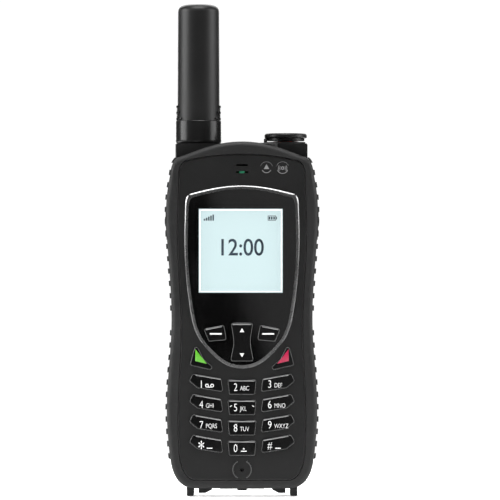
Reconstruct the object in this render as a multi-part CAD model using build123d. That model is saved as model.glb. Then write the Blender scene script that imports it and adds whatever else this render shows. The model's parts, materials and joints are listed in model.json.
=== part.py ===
from build123d import *
import os

# Rugged handheld satellite phone, standing upright on its two base rails.
# Millimetres. X runs across (the antenna is on -X), -Y is the front, +Z is up.
# Y = 0 is mid depth, Z = 0 is the underside of the rails.

# ---- Overall sizes
body_half = 29.4         # half width across the shoulders
body_depth = 27.0
top_z = 137.2            # flat top of the rear block
base_z = 3.1             # underside of the case, above the rails
waist_in = 2.0           # how much slimmer the waist is than the shoulders, each side
hip_in = 0.15
waist_z = 67.0
hip_z = 33.0
shoulder_z = top_z - 33.2

# ---- Walls and depths
front_y = -body_depth / 2
back_y = body_depth / 2
plate_y = front_y + 0.9          # face of the front housing
plate_t = 1.6
plate_back_y = plate_y + plate_t
split_y = front_y + 7.1          # where the front and rear housings meet
wrap_back_y = back_y - 4.0       # rear edge of the bumper
bumper_t = 1.7
shell_t = 1.4
frame_margin = 4.3               # bumper seen around the front housing
seam = 0.15
edge_r = 2.0
back_r = 3.6

# ---- Rear block, antenna and its well
block_half = 25.5
block_root_z = top_z - 16.0
barrel_r = 8.3
barrel_tip_r = barrel_r - 0.25
well_r = barrel_r + 0.25
antenna_x = barrel_r + 0.2 - block_half
well_y = back_y - 1.2 - well_r
well_floor_z = top_z - 41.5
collar_z = top_z + 0.3
collar_h = 8.8
collar_r = barrel_r + 0.65
barrel_foot_z = collar_z + 0.6
tip_z = top_z + 54.5

rib_pitch = 4.8
rib_half = 1.0

# ---- Lens, bezel and screen
bezel_t = 1.3
bezel_seat = 1.0
bezel_bevel = 0.35
bezel_top_z = top_z - 16.5
bezel_low_z = 49.7
screen_x = -0.5
screen_w = 32.6
screen_h = 32.6
screen_z = bezel_top_z - 25.3
panel_edge = 1.3
tray_t = 0.8

# ---- Keys
key_gap = 0.15
flange_out = 0.6
flange_t = 0.9
rocker_lip_t = 0.6        # thinner, so that the rocker can tilt
key_back_y = plate_back_y + 0.1 + flange_t
row_pitch = 7.9
top_row_z = 43.2
membrane_y = key_back_y + 0.5
membrane_t = 0.6
dome_t = 0.25
board_t = 0.8
keyboard_y = membrane_y + membrane_t + dome_t
keypad_half = 20.8
keypad_low_z = 16.0
keypad_high_z = 68.6
main_y = split_y - 0.4 - board_t

# ---- Battery bay in the back
bay_half = 23.0
bay_low_z = 7.4
bay_high_z = 86.0
bay_r = 7.0
bay_y = front_y + 12.0
floor_t = 2.3
pack_gap = 0.25

# ---- Screws
screw_r = 0.95
screw_head_r = 1.8
boss_r = 1.9
screws = [(20.2, 12.6), (21.0, 82.0)]

# ---- Emergency button and its cap
cap_x = block_half - 8.45
cap_r = 8.3
cap_neck_r = 7.35
button_r = 5.2
cap_pin_r = 0.35
cap_knuckle_r = 0.65
cap_hinge_x = cap_x - cap_r + 0.4
cap_hinge_z = top_z + 1.5

# ---- Headset jack and side keys
jack_z = top_z - 16.4
jack_y = 3.6
jack_bore_r = 1.75
jack_len = 15.0
side_key_z = shoulder_z + 1.5
side_key_len = 12.0


def front_plane(y):
    """A drawing plane facing the front at depth y, with X across and Z up."""
    return Plane(origin=(0, y, 0), x_dir=(1, 0, 0), z_dir=(0, -1, 0))


def slab(outline, y0, y1):
    """Extrude an outline drawn in X and Z so that it fills the depths y0 to y1."""
    return extrude(front_plane(y1) * outline, amount=y1 - y0)


def block(x0, x1, y0, y1, z0, z1):
    return Pos((x0 + x1) / 2, (y0 + y1) / 2, (z0 + z1) / 2) * Box(x1 - x0, y1 - y0, z1 - z0)


def peg(x, y, z0, z1, r):
    """An upright cylinder."""
    return Pos(x, y, (z0 + z1) / 2) * Cylinder(r, z1 - z0)


def rod_y(x, z, y0, y1, r):
    """A cylinder that runs front to back."""
    return Pos(x, (y0 + y1) / 2, z) * Rot(90, 0, 0) * Cylinder(r, y1 - y0)


def rod_x(x0, x1, y, z, r):
    """A cylinder that runs across."""
    return Pos((x0 + x1) / 2, y, z) * Rot(0, 90, 0) * Cylinder(r, x1 - x0)


def both_sides(curves):
    """The face between a right-hand chain of curves and its mirror image."""
    return make_face(curves + mirror(curves, about=Plane.YZ))


def rounded(points, radius):
    return make_face(FilletPolyline(*points, radius=radius, close=True))


def rect(x0, x1, z0, z1, r=0.0):
    shape = RectangleRounded(x1 - x0, z1 - z0, r) if r else Rectangle(x1 - x0, z1 - z0)
    return Pos((x0 + x1) / 2, (z0 + z1) / 2) * shape


def flipped(outline):
    return mirror(outline, about=Plane.YZ)


# ---- Outlines, drawn in X and Z

def case_outline(inset=0.0):
    """The case seen from the front: waisted sides, soft corners and an arched top."""
    half = body_half - inset
    low = base_z + inset
    hip = (half - hip_in, hip_z)
    corner_low = (half - 1.1, low + 14.6)
    corner_high = (half - 1.2, top_z - 13.7)
    shoulder = (half - 5.2, top_z - 5.3 - inset)
    bottom = Line((0, low), (half - 11.4, low))
    foot = Spline((half - 11.4, low), (half - 3.6, low + 4.4), corner_low,
                  tangents=[(1, 0), (0.1, 1)])
    side = Spline(corner_low, hip, (half - waist_in, waist_z), (half, shoulder_z), corner_high,
                  tangents=[(0.1, 1), (-0.2, 1)])
    corner = Spline(corner_high, (half - 2.3, top_z - 8.2 - inset / 2), shoulder,
                    tangents=[(-0.2, 1), (-1, 0.35)])
    arch = Spline(shoulder, (0, top_z + 0.7 - inset), tangents=[(-1, 0.35), (-1, 0)])
    return both_sides(bottom + foot + side + corner + arch)


def housing_outline(inset=0.0):
    """The front housing, inside the bumper."""
    half = body_half - frame_margin - inset
    low = base_z + 3.2 + inset
    high = top_z - 4.3 - inset
    corner_low = (half - 0.9, low + 9.0)
    corner_high = (half - 0.5, top_z - 18.0)
    shoulder = (half - 3.6, high - 2.5)
    bottom = Line((0, low), (half - 8.0, low))
    foot = Spline((half - 8.0, low), (half - 2.7, low + 3.1), corner_low, tangents=[(1, 0), (0.15, 1)])
    side = Spline(corner_low, (half - 0.3, hip_z), (half - 1.5, waist_z), (half, shoulder_z - 4),
                  corner_high, tangents=[(0.1, 1), (-0.05, 1)])
    corner = Spline(corner_high, (half - 1.2, high - 4.9), shoulder, tangents=[(-0.05, 1), (-1, 0.25)])
    arch = Spline(shoulder, (0, high), tangents=[(-1, 0.25), (-1, 0)])
    return both_sides(bottom + foot + side + corner + arch)


def bezel_outline(inset=0.0):
    """The shield-shaped bezel, narrow at the keypad and wide at the screen."""
    half = body_half - 7.05 - inset
    low = bezel_low_z + inset
    high = bezel_top_z - inset
    side_low = (half - 2.2, 72.4)
    side_high = (half - 0.35, high - 7.2)
    shoulder = (half - 2.2, high - 3.2)
    point = Spline((0, low), (8.5 - inset * 0.6, 52.5 + inset * 0.8),
                   (14.2 - inset * 0.75, 57.9 + inset * 0.6), side_low, tangents=[(1, 0), (0.16, 1)])
    side = Spline(side_low, (half, high - 23), side_high, tangents=[(0.16, 1), (-0.04, 1)])
    corner = Spline(side_high, (half - 0.85, high - 4.5), shoulder, tangents=[(-0.04, 1), (-1, 0.25)])
    arch = Spline(shoulder, (0, high), tangents=[(-1, 0.25), (-1, 0)])
    return both_sides(point + side + corner + arch)


def outer_key_outline(z):
    """A number key of the left-hand column, with its bulging outer side."""
    return rounded([(-19.1, z + 4.5), (-8.1, z + 2.6), (-7.3, z - 2.6), (-17.3, z - 1.0),
                    (-20.5, z + 1.6)], 0.9)


def middle_key_outline(z):
    return rounded([(-5.6, z + 2.3), (0, z + 1.9), (5.6, z + 2.3), (5.0, z - 3.6), (-5.0, z - 3.6)], 0.8)


def soft_key_outline():
    return rounded([(-14.9, 65.1), (-7.0, 66.6), (-6.0, 60.8), (-12.9, 60.2)], 0.8)


def nav_outline():
    """The tall rocker between the soft keys, slimmer at its middle."""
    points = [(-4.5, 52.5), (4.5, 52.5), (3.1, 60.0), (4.3, 67.4), (-4.3, 67.4), (-3.1, 60.0)]
    return rounded(points, [0.9, 0.9, 12.0, 0.9, 0.9, 12.0])


def call_key_outline():
    """The three-cornered call key that follows the foot of the bezel."""
    return rounded([(-17.9, 59.6), (-14.9, 53.2), (-9.0, 48.4), (-20.3, 51.0)], 0.9)


def key_outlines():
    """Each front key's outline by name, without the rocker."""
    keys = {}
    for row in range(4):
        z = top_row_z - row * row_pitch
        left = outer_key_outline(z)
        first = 3 * row + 1
        names = [f"key_{first}", f"key_{first + 1}", f"key_{first + 2}"]
        if row == 3:
            names = ["key_star", "key_0", "key_hash"]
        keys[names[0]] = left
        keys[names[1]] = middle_key_outline(z)
        keys[names[2]] = flipped(left)
    keys["soft_key_left"] = soft_key_outline()
    keys["soft_key_right"] = flipped(soft_key_outline())
    keys["call_key"] = call_key_outline()
    keys["end_key"] = flipped(call_key_outline())
    return keys


LENS_KEYS = ["soft_key_left", "soft_key_right"]


def screw_points():
    return [(side * x, z) for x, z in screws for side in (-1, 1)]


def panel_rect(margin):
    """The display panel's outline, grown by a margin."""
    half_w = screen_w / 2 + panel_edge + margin
    half_h = screen_h / 2 + panel_edge + margin
    return rect(screen_x - half_w, screen_x + half_w, screen_z - half_h, screen_z + half_h)


# ---- Front half

def front_housing(keys):
    shell = slab(housing_outline(), plate_y, split_y)
    front_edges = shell.faces().sort_by(Axis.Y)[0].edges()
    shell = fillet(front_edges, 0.5)
    shell -= slab(housing_outline(shell_t), plate_back_y, split_y)
    for x, z in screw_points():
        shell += rod_y(x, z, plate_back_y, split_y, boss_r)
        shell -= rod_y(x, z, plate_back_y + 0.4, split_y, screw_r + 0.03)
    shell -= slab(bezel_outline(), plate_y, plate_y + bezel_seat)
    shell -= slab(panel_rect(0.15), plate_y, plate_back_y)
    for outline in keys.values():
        shell -= slab(offset(outline, key_gap), plate_y, plate_back_y)
    shell -= slab(offset(nav_outline(), 2 * key_gap), plate_y, plate_back_y)
    for z in slot_heights():
        shell -= slab(rect(-2.3, 2.3, z - 0.4, z + 0.4), plate_y, plate_back_y)
    shell -= rod_y(0, mic_z(), plate_y, plate_back_y, 0.8)
    for r in (3.3, 3.9):
        ring = Circle(r + 0.15) - Circle(r - 0.15) - Rectangle(4, 12)
        shell += slab(Pos(0, mic_z()) * ring, plate_y - 0.25, plate_y)
    groove = housing_outline(shell_t * 0.3) - housing_outline(shell_t * 0.7)
    return shell - slab(groove, split_y - 0.4, split_y)


def slot_heights():
    """The earpiece slot and, below it, the status light's slot."""
    return [top_z - 8.5, top_z - 11.3]


def mic_z():
    return base_z + 7.3


def housing_seal():
    ring = housing_outline(shell_t * 0.3) - housing_outline(shell_t * 0.7)
    return slab(ring, split_y - 0.4, split_y)


def lens_bezel():
    brow_y = front_y + 0.3 + bezel_bevel
    ring = slab(bezel_outline(), brow_y, plate_y + bezel_seat)
    ring += loft([front_plane(brow_y) * bezel_outline(),
                  front_plane(front_y + 0.3) * bezel_outline(bezel_bevel)])
    return ring - slab(bezel_outline(bezel_t), front_y, plate_y + bezel_seat)


def display_lens(keys):
    lens = slab(bezel_outline(bezel_t), front_y + 0.6, plate_y + bezel_seat)
    for name in LENS_KEYS:
        lens -= slab(offset(keys[name], key_gap), front_y, plate_back_y)
    return lens - slab(offset(nav_outline(), 2 * key_gap), front_y, plate_back_y)


def display_panel():
    return slab(panel_rect(0), plate_y + bezel_seat + 0.1, plate_back_y + 1.3)


def display_tray():
    tray = slab(panel_rect(tray_t), plate_back_y, plate_back_y + 1.3 + tray_t)
    return tray - slab(panel_rect(0), plate_back_y, plate_back_y + 1.3)


def front_key(outline, face_y, lip_t=flange_t):
    """A key cap with the hidden flange that keeps it in the housing."""
    cap = slab(outline, face_y, key_back_y)
    cap = fillet(cap.faces().sort_by(Axis.Y)[0].edges(), 0.35)
    return cap + slab(offset(outline, flange_out), key_back_y - lip_t, key_back_y)


def nav_rocker():
    return front_key(nav_outline(), front_y + 0.1, rocker_lip_t)


def key_membrane():
    sheet = slab(rect(-keypad_half, keypad_half, keypad_low_z, keypad_high_z, 2.0),
                 membrane_y, membrane_y + membrane_t)
    return sheet


def key_domes(keys):
    """One snap dome under each key and two under the rocker."""
    spots = [outline.bounding_box().center() for outline in keys.values()]
    spots += [Vector(0, 55.5), Vector(0, 64.5)]
    dome_y = membrane_y + membrane_t
    return Compound([rod_y(s.X, s.Y, dome_y, dome_y + dome_t, 2.2) for s in spots])


def keypad_board():
    return slab(rect(-keypad_half, keypad_half, keypad_low_z, keypad_high_z, 1.0),
                keyboard_y, keyboard_y + board_t)


def main_board():
    board = slab(housing_outline(shell_t + 0.4), main_y, main_y + board_t)
    for x, z in screw_points():
        board -= rod_y(x, z, main_y, main_y + board_t, boss_r + 0.2)
    return board


def shield_can():
    """A folded steel can over the radio, open towards the board."""
    y0 = main_y + board_t
    x0, x1 = antenna_x + well_r + 4.5, antenna_x + well_r + 28.5
    z0, z1 = top_z - 42.0, top_z - 20.0
    can = block(x0, x1, y0, y0 + 3.0, z0, z1)
    return can - block(x0 + 0.3, x1 - 0.3, y0, y0 + 2.7, z0 + 0.3, z1 - 0.3)


def earpiece():
    z = slot_heights()[0]
    return block(-5.5, 5.5, plate_back_y, plate_back_y + 2.6, z - 1.7, z + 1.9)


def status_light():
    z = slot_heights()[1]
    return block(-0.9, 0.9, plate_y + 0.1, main_y - 0.1, z - 0.35, z + 0.35)


def microphone():
    return rod_y(0, mic_z(), plate_back_y, plate_back_y + 2.0, 2.0)


# ---- Bumper and grips

def bumper_frame():
    case = slab(case_outline(), plate_y - 0.3, wrap_back_y)
    case = fillet(case.faces().sort_by(Axis.Y)[0].edges(), edge_r)
    back_rim = slab(case_outline(), split_y, back_y) & block(
        -body_half, body_half, split_y, back_y, base_z, block_root_z + 9.0)
    front_part = case & block(-body_half, body_half, front_y, split_y, base_z, top_z + 1)
    front_part -= slab(housing_outline(-seam), front_y, split_y)
    rear_part = case & back_rim
    rear_part -= slab(case_outline(bumper_t), split_y, back_y)
    rear_part -= block(-block_half, block_half, split_y, back_y, block_root_z, top_z + 2)
    frame = front_part + rear_part
    for side in (-1, 1):
        frame += foot_rail(side) + dock_ramp(side)
    frame += block(-1.9, 1.9, split_y + 4.5, split_y + 8.5, base_z - 1.2, base_z + 0.3)
    frame -= dock_slot()
    frame -= grip_band(-1) + grip_band(1)
    frame -= side_key_pocket(-1) + side_key_pocket(1)
    frame -= jack_flap_space() + power_key_space()
    return frame - rod_x(body_half - 6, body_half, jack_y, jack_z, 3.2)


def foot_rail(side):
    """A rail of the base that the phone stands on."""
    rail = block(18.7, 21.5, front_y + 4.5, back_y - 6.0, 0, base_z + 3.4)
    rail = fillet(rail.faces().sort_by(Axis.Z)[0].edges(), 0.6)
    rail -= slab(case_outline(bumper_t), front_y, back_y)
    return rail if side > 0 else mirror(rail, about=Plane.YZ)


def dock_ramp(side):
    """A sloped lug that guides the phone onto its dock."""
    points = [(11.7, base_z + 0.2), (11.7, base_z - 0.6), (14.2, base_z - 1.9), (16.9, base_z - 1.9),
              (16.9, base_z + 0.2)]
    ramp = slab(make_face(Polyline(*points, close=True)), front_y + 5.5, back_y - 9.0)
    return ramp if side > 0 else mirror(ramp, about=Plane.YZ)


def dock_slot():
    return block(-8.7, 8.7, split_y + 0.3, split_y + 2.8, base_z - 1.0, bay_low_z + 4.6)


def grip_band(side):
    """The pocket in the bumper's side that the rubber grip fills."""
    ring = case_outline() - case_outline(1.2)
    band = slab(ring, front_y + 3.6, front_y + 12.6)
    band -= slab(case_outline(bumper_t), split_y, back_y)
    band -= block(-block_half, block_half, split_y, back_y, block_root_z, top_z)
    return band & side_box(side, front_y, back_y, base_z + 10.5, top_z - 5.5)


def side_box(side, y0, y1, z0, z1):
    x0, x1 = sorted((side * (body_half - 8), side * (body_half + 2)))
    return block(x0, x1, y0, y1, z0, z1)


def side_grip(side):
    """A rubber strip with a rib every few millimetres."""
    strip = grip_band(side)
    ribs = case_outline(-0.55) - case_outline(0.3)
    ribs = slab(ribs, front_y + 4.2, front_y + 12.0)
    z = base_z + 12.4
    while z < top_z - 6.0:
        if abs(z - waist_z) > 2.0:
            strip += ribs & side_box(side, front_y, back_y, z - rib_half, z + rib_half)
        z += rib_pitch
    return strip - block(-block_half, block_half, split_y, back_y, block_root_z, top_z)


def side_key_pocket(side):
    return side_box(side, 0.6, 7.2, side_key_z - side_key_len / 2, side_key_z + side_key_len / 2)


def side_key(side):
    """A side key, a little proud of the bumper, with three finger bars."""
    reach = case_outline(-0.35) - case_outline(bumper_t - 0.35)
    half = side_key_len / 2 - 0.2
    key = slab(reach, 0.8, 7.0) & side_box(side, 0, 8, side_key_z - half, side_key_z + half)
    bars = case_outline(-0.6) - case_outline(0.1)
    for step in (-1, 0, 1):
        z = side_key_z + 2.6 * step
        key += slab(bars, 1.8, 6.0) & side_box(side, 0, 8, z - 0.5, z + 0.5)
    return key


# ---- Rear half

def rear_form():
    """The rear housing's outside, before anything is cut from it."""
    form = slab(case_outline(bumper_t), split_y, back_y)
    form = fillet(form.faces().sort_by(Axis.Y)[-1].edges(), back_r)
    top = block(-block_half, block_half, split_y, back_y, block_root_z, top_z)
    top = fillet(top.faces().sort_by(Axis.Y)[-1].edges().group_by(Axis.Z)[-1], back_r)
    top = fillet(top.edges().filter_by(Axis.Y).group_by(Axis.Z)[-1], 0.6)
    form &= block(-body_half, body_half, split_y, back_y, base_z, block_root_z + 9.0)
    return form + top + peg(antenna_x, well_y, top_z - 5.7, top_z, well_r + 0.5)


def bay_outline(inset=0.0):
    return rect(inset - bay_half, bay_half - inset, bay_low_z + inset, bay_high_z - inset, bay_r)


def rear_housing():
    shell = rear_form()
    shell -= peg(antenna_x, well_y, well_floor_z, top_z, well_r)
    shell -= electronics_space()
    board_space = slab(rect(1.9 - bay_half, bay_half - 1.9, bay_low_z + 2.2, bay_high_z - 2), split_y,
                       bay_y - floor_t)
    for x, z in screw_points():
        board_space -= rod_y(x, z, split_y, bay_y, screw_head_r + 0.9)
    shell -= board_space
    shell -= slab(bay_outline(), bay_y, back_y)
    for x, z in screw_points():
        shell -= rod_y(x, z, split_y, bay_y, screw_r + 0.1)
        shell -= rod_y(x, z, bay_y - 1.4, bay_y, screw_head_r + 0.15)
    shell -= dock_slot()
    shell -= block(-8, 8, bay_y - 1.4, bay_y, 22, 50)
    for x in contact_places():
        shell -= contact_blade(x)
    shell -= latch_space()
    shell -= rod_x(jack_floor_x(), body_half, jack_y, jack_z, 3.0)
    shell -= jack_flap_space()
    shell -= peg(cap_x, well_y, top_z - 3, top_z, button_r + 0.15)
    for step in range(5):
        z = ringer_z() - 4.0 + 2.0 * step
        shell -= slab(rect(3.5, 12.5, z - 0.45, z + 0.45, 0.4), back_y - 4, back_y)
    return shell


def electronics_space():
    """The upper right of the housing, beside the antenna well."""
    x0, x1, roof_z = antenna_x + well_r + 1.6, block_half - 1.8, top_z - 10.0
    space = block(x0, x1, split_y, back_y - 3.3, bay_high_z + 4.0, roof_z)
    return space + block(x0, x1, split_y + shell_t, back_y - 3.3, roof_z - 1, top_z - 2.5)


def latch_space():
    """The latch's open track and the slot for its tongue."""
    track = block(-8, 8, back_y - 1.8, back_y, bay_high_z + 2.0, bay_high_z + 12.5)
    return track + block(-4.2, 4.2, back_y - 2.7, back_y - 0.9, bay_high_z - 0.1, bay_high_z + 5.4)


def ringer_z():
    return top_z - 33.0


def ringer():
    return block(0.5, 15.5, back_y - 7.0, back_y - 3.3, ringer_z() - 6, ringer_z() + 6)


def vibration_motor():
    z = bay_high_z + 4.0 + 2.1
    return rod_x(5.0, 15.0, 3.0, z, 2.0) + block(2.0, 5.0, 1.6, 4.4, z - 2.1, z + 1.4)


def patch_antenna():
    """The square ceramic receiving antenna under the roof of the block."""
    x0 = antenna_x + well_r + 2.6
    return block(x0, x0 + 14.0, split_y + 1.5, split_y + 15.5, top_z - 6.5, top_z - 2.5)


def contact_places():
    return [-4.5, -1.5, 1.5, 4.5]


def contact_blade(x):
    return block(x - 0.6, x + 0.6, main_y + board_t, bay_y + 0.15, 76, 80)


def battery_contacts():
    return Compound([contact_blade(x) for x in contact_places()])


def sim_holder():
    frame = block(-8, 8, bay_y - 1.4, bay_y - 0.1, 22, 50)
    return frame - block(-7.6, 7.6, bay_y - 1.0, bay_y - 0.1, 23.4, 48.6)


def sim_card():
    return block(-7.5, 7.5, bay_y - 1.0, bay_y - 0.3, 23.5, 48.5)


def battery_case():
    case = rear_form() & slab(bay_outline(pack_gap), bay_y + 0.15, back_y)
    case -= cell_space()
    notch = block(-4.2, 4.2, back_y - 2.7, back_y - 0.9, bay_high_z - 1.9, bay_high_z)
    return case - notch


def cell_space():
    return slab(rect(-cell_half(), cell_half(), bay_low_z + 3.0, bay_high_z - 4.2), bay_y + 1.2,
                back_y - 2.2)


def cell_half():
    return bay_half - 2.6


def battery_cells():
    """Two flat cells side by side."""
    y0, y1 = bay_y + 1.3, back_y - 2.3
    z0, z1 = bay_low_z + 3.1, bay_high_z - 4.3
    left = block(0.1 - cell_half(), -0.2, y0, y1, z0, z1)
    return Compound([left, mirror(left, about=Plane.YZ)])


def battery_latch():
    """A sliding thumb latch whose tongue holds the battery's top edge."""
    body = block(-6, 6, back_y - 1.7, back_y - 0.4, bay_high_z + 2.2, bay_high_z + 8.8)
    for step in range(3):
        z = bay_high_z + 3.6 + 1.6 * step
        body += block(-4.5, 4.5, back_y - 0.5, back_y - 0.1, z - 0.35, z + 0.35)
    tongue = block(-4, 4, back_y - 2.4, back_y - 1.3, bay_high_z - 1.6, bay_high_z + 3.0)
    return body + tongue


def dock_connector():
    body = block(-8.6, 8.6, split_y + 0.4, split_y + 2.7, base_z - 0.4, bay_low_z + 4.5)
    return body - block(-7.2, 7.2, split_y + 1.0, split_y + 2.1, base_z - 0.4, base_z + 4.0)


def case_screws():
    made = []
    for x, z in screw_points():
        screw = rod_y(x, z, plate_back_y + 1.0, bay_y - 1.4, screw_r)
        head = rod_y(x, z, bay_y - 1.4, bay_y - 0.3, screw_head_r)
        head -= slab(Pos(x, z) * RegularPolygon(0.8, 6), bay_y - 0.9, bay_y)
        made.append(screw + head)
    return Compound(made)


# ---- Headset jack

def jack_floor_x():
    return body_half - 1.4 - jack_len


def headset_jack():
    barrel = rod_x(jack_floor_x(), body_half - 2.5, jack_y, jack_z, 2.95)
    return barrel - rod_x(jack_floor_x() + 2.0, body_half, jack_y, jack_z, jack_bore_r)


def jack_flap_space():
    """The shallow pocket in the bumper's side that the jack's flap closes."""
    ring = case_outline(-1.0) - case_outline(bumper_t)
    return slab(ring, jack_y - 4.0, jack_y + 5.5) & side_box(1, -2, 9, jack_z - 4.2, jack_z + 4.2)


def jack_cover():
    """A sealing flap, hinged along its rear edge."""
    ring = case_outline(0.05) - case_outline(1.05)
    flap = slab(ring, jack_y - 3.8, jack_y + 3.1) & side_box(1, -2, 9, jack_z - 4.0, jack_z + 4.0)
    hinge = peg(jack_hinge_x(), jack_hinge_y(), jack_z - 2.4, jack_z + 2.4, 0.5)
    strap = block(jack_hinge_x() - 0.35, jack_hinge_x() + 0.35, jack_y + 2.9, jack_hinge_y(),
                  jack_z - 2.4, jack_z + 2.4)
    return flap + hinge + strap


def jack_hinge_x():
    return body_half - 1.4


def jack_hinge_y():
    return jack_y + 4.1


# ---- Antenna and top

def antenna_radome():
    """The antenna's tapered tube with a domed tip and raised finger bars."""
    dome = 3.2
    profile = (Line((0, barrel_foot_z), (barrel_r, barrel_foot_z))
               + Line((barrel_r, barrel_foot_z), (barrel_tip_r, tip_z - dome))
               + Spline((barrel_tip_r, tip_z - dome), (0, tip_z), tangents=[(0, 1), (-1, 0)])
               + Line((0, tip_z), (0, barrel_foot_z)))
    tube = revolve(Plane.XZ * make_face(profile), Axis.Z)
    return Pos(antenna_x, well_y, 0) * (tube - core_space())


def core_space():
    r = barrel_r - 1.3
    return Pos(0, 0, (barrel_foot_z + tip_z) / 2 - 1.0) * Cylinder(r, tip_z - barrel_foot_z - 6.0)


def antenna_core():
    """The former that carries the antenna's four printed helices."""
    r = barrel_r - 1.5
    core = Cylinder(r, tip_z - barrel_foot_z - 6.4) - Cylinder(r - 1.2, tip_z - barrel_foot_z)
    return Pos(antenna_x, well_y, (barrel_foot_z + tip_z) / 2 - 1.0) * core


def antenna_collar():
    """The collar on top of the block that guides the antenna."""
    collar = peg(0, 0, top_z - 0.6, collar_z + collar_h, collar_r)
    collar = fillet(collar.faces().sort_by(Axis.Z)[0].edges(), 2.0)
    collar = fillet(collar.faces().sort_by(Axis.Z)[-1].edges(), 0.3)
    collar -= peg(0, 0, collar_z - 1, collar_z + collar_h + 1, barrel_r + 0.15)
    return Pos(antenna_x, well_y, 0) * collar


def emergency_base():
    ring = peg(cap_x, well_y, top_z, top_z + 0.7, cap_r - 0.6)
    for side in (-1, 1):
        y0, y1 = sorted((well_y + side * 2.3, well_y + side * 3.4))
        ring += block(cap_hinge_x - cap_knuckle_r, cap_x - 4, y0, y1, top_z, top_z + 0.7)
        ring += block(cap_hinge_x - cap_knuckle_r, cap_hinge_x + cap_knuckle_r, y0, y1, top_z, cap_hinge_z)
        ring += rod_y(cap_hinge_x, cap_hinge_z, y0, y1, cap_knuckle_r)
    ring -= peg(cap_x, well_y, top_z, top_z + 1, button_r + 0.15)
    return ring - rod_y(cap_hinge_x, cap_hinge_z, well_y - 4, well_y + 4, cap_pin_r)


def emergency_button():
    button = peg(cap_x, well_y, top_z - 3.8, top_z + 0.9, button_r)
    button = fillet(button.faces().sort_by(Axis.Z)[-1].edges(), 0.5)
    return button + peg(cap_x, well_y, top_z - 3.8, top_z - 2.6, button_r + 0.8)


def emergency_cap():
    cap = peg(cap_x, well_y, top_z + 2.2, top_z + 4.1, cap_r)
    cap = fillet(cap.faces().sort_by(Axis.Z)[-1].edges(), 0.9)
    cap = fillet(cap.faces().sort_by(Axis.Z)[0].edges(), 0.5)
    cap += peg(cap_x, well_y, top_z + 1.1, top_z + 2.4, cap_neck_r)
    cap -= peg(cap_x, well_y, top_z + 1.1, top_z + 2.0, button_r + 0.8)
    cap += block(cap_hinge_x, cap_hinge_x + 2.6, well_y - 2.1, well_y + 2.1, top_z + 1.7, top_z + 2.5)
    cap += rod_y(cap_hinge_x, cap_hinge_z, well_y - 2.1, well_y + 2.1, cap_knuckle_r)
    return cap - rod_y(cap_hinge_x, cap_hinge_z, well_y - 3, well_y + 3, cap_pin_r + 0.05)


def cap_pin():
    return rod_y(cap_hinge_x, cap_hinge_z, well_y - 3.4, well_y + 3.4, cap_pin_r)


def power_outline(grow=0.0):
    """The oval power key in the arched front of the bumper, seen from above."""
    return Pos(9.8, (front_y + split_y) / 2 + 0.6) * Ellipse(4.0 + grow, 2.2 + grow)


def power_key_space():
    return extrude(Pos(0, 0, top_z - 2.6) * power_outline(0.15), amount=6)


def power_key():
    stem = extrude(Pos(0, 0, top_z - 2.0) * power_outline(), amount=2.2)
    return fillet(stem.faces().sort_by(Axis.Z)[-1].edges(), 0.5)


def main():
    keys = key_outlines()
    parts = {
        "front_housing": front_housing(keys),
        "housing_seal": housing_seal(),
        "bumper_frame": bumper_frame(),
        "rear_housing": rear_housing(),
        "side_grip_left": side_grip(-1),
        "side_grip_right": side_grip(1),
        "lens_bezel": lens_bezel(),
        "display_lens": display_lens(keys),
        "display_panel": display_panel(),
        "display_tray": display_tray(),
        "main_board": main_board(),
        "keypad_board": keypad_board(),
        "key_domes": key_domes(keys),
        "key_membrane": key_membrane(),
        "shield_can": shield_can(),
        "earpiece": earpiece(),
        "status_light": status_light(),
        "microphone": microphone(),
        "ringer": ringer(),
        "vibration_motor": vibration_motor(),
        "patch_antenna": patch_antenna(),
        "sim_holder": sim_holder(),
        "sim_card": sim_card(),
        "battery_contacts": battery_contacts(),
        "battery_case": battery_case(),
        "battery_cells": battery_cells(),
        "battery_latch": battery_latch(),
        "dock_connector": dock_connector(),
        "headset_jack": headset_jack(),
        "jack_cover": jack_cover(),
        "case_screws": case_screws(),
        "antenna_radome": antenna_radome(),
        "antenna_core": antenna_core(),
        "antenna_collar": antenna_collar(),
        "emergency_base": emergency_base(),
        "emergency_button": emergency_button(),
        "emergency_cap": emergency_cap(),
        "cap_pin": cap_pin(),
        "power_key": power_key(),
        "volume_key": side_key(-1),
        "function_key": side_key(1),
        "nav_rocker": nav_rocker(),
    }
    for name, outline in keys.items():
        parts[name] = front_key(outline, front_y + (0.1 if name in LENS_KEYS else 0.0))
    os.makedirs("parts", exist_ok=True)
    for name, shape in parts.items():
        export_step(shape, f"parts/{name}.step")


main()
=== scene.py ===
import json
import math

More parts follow.
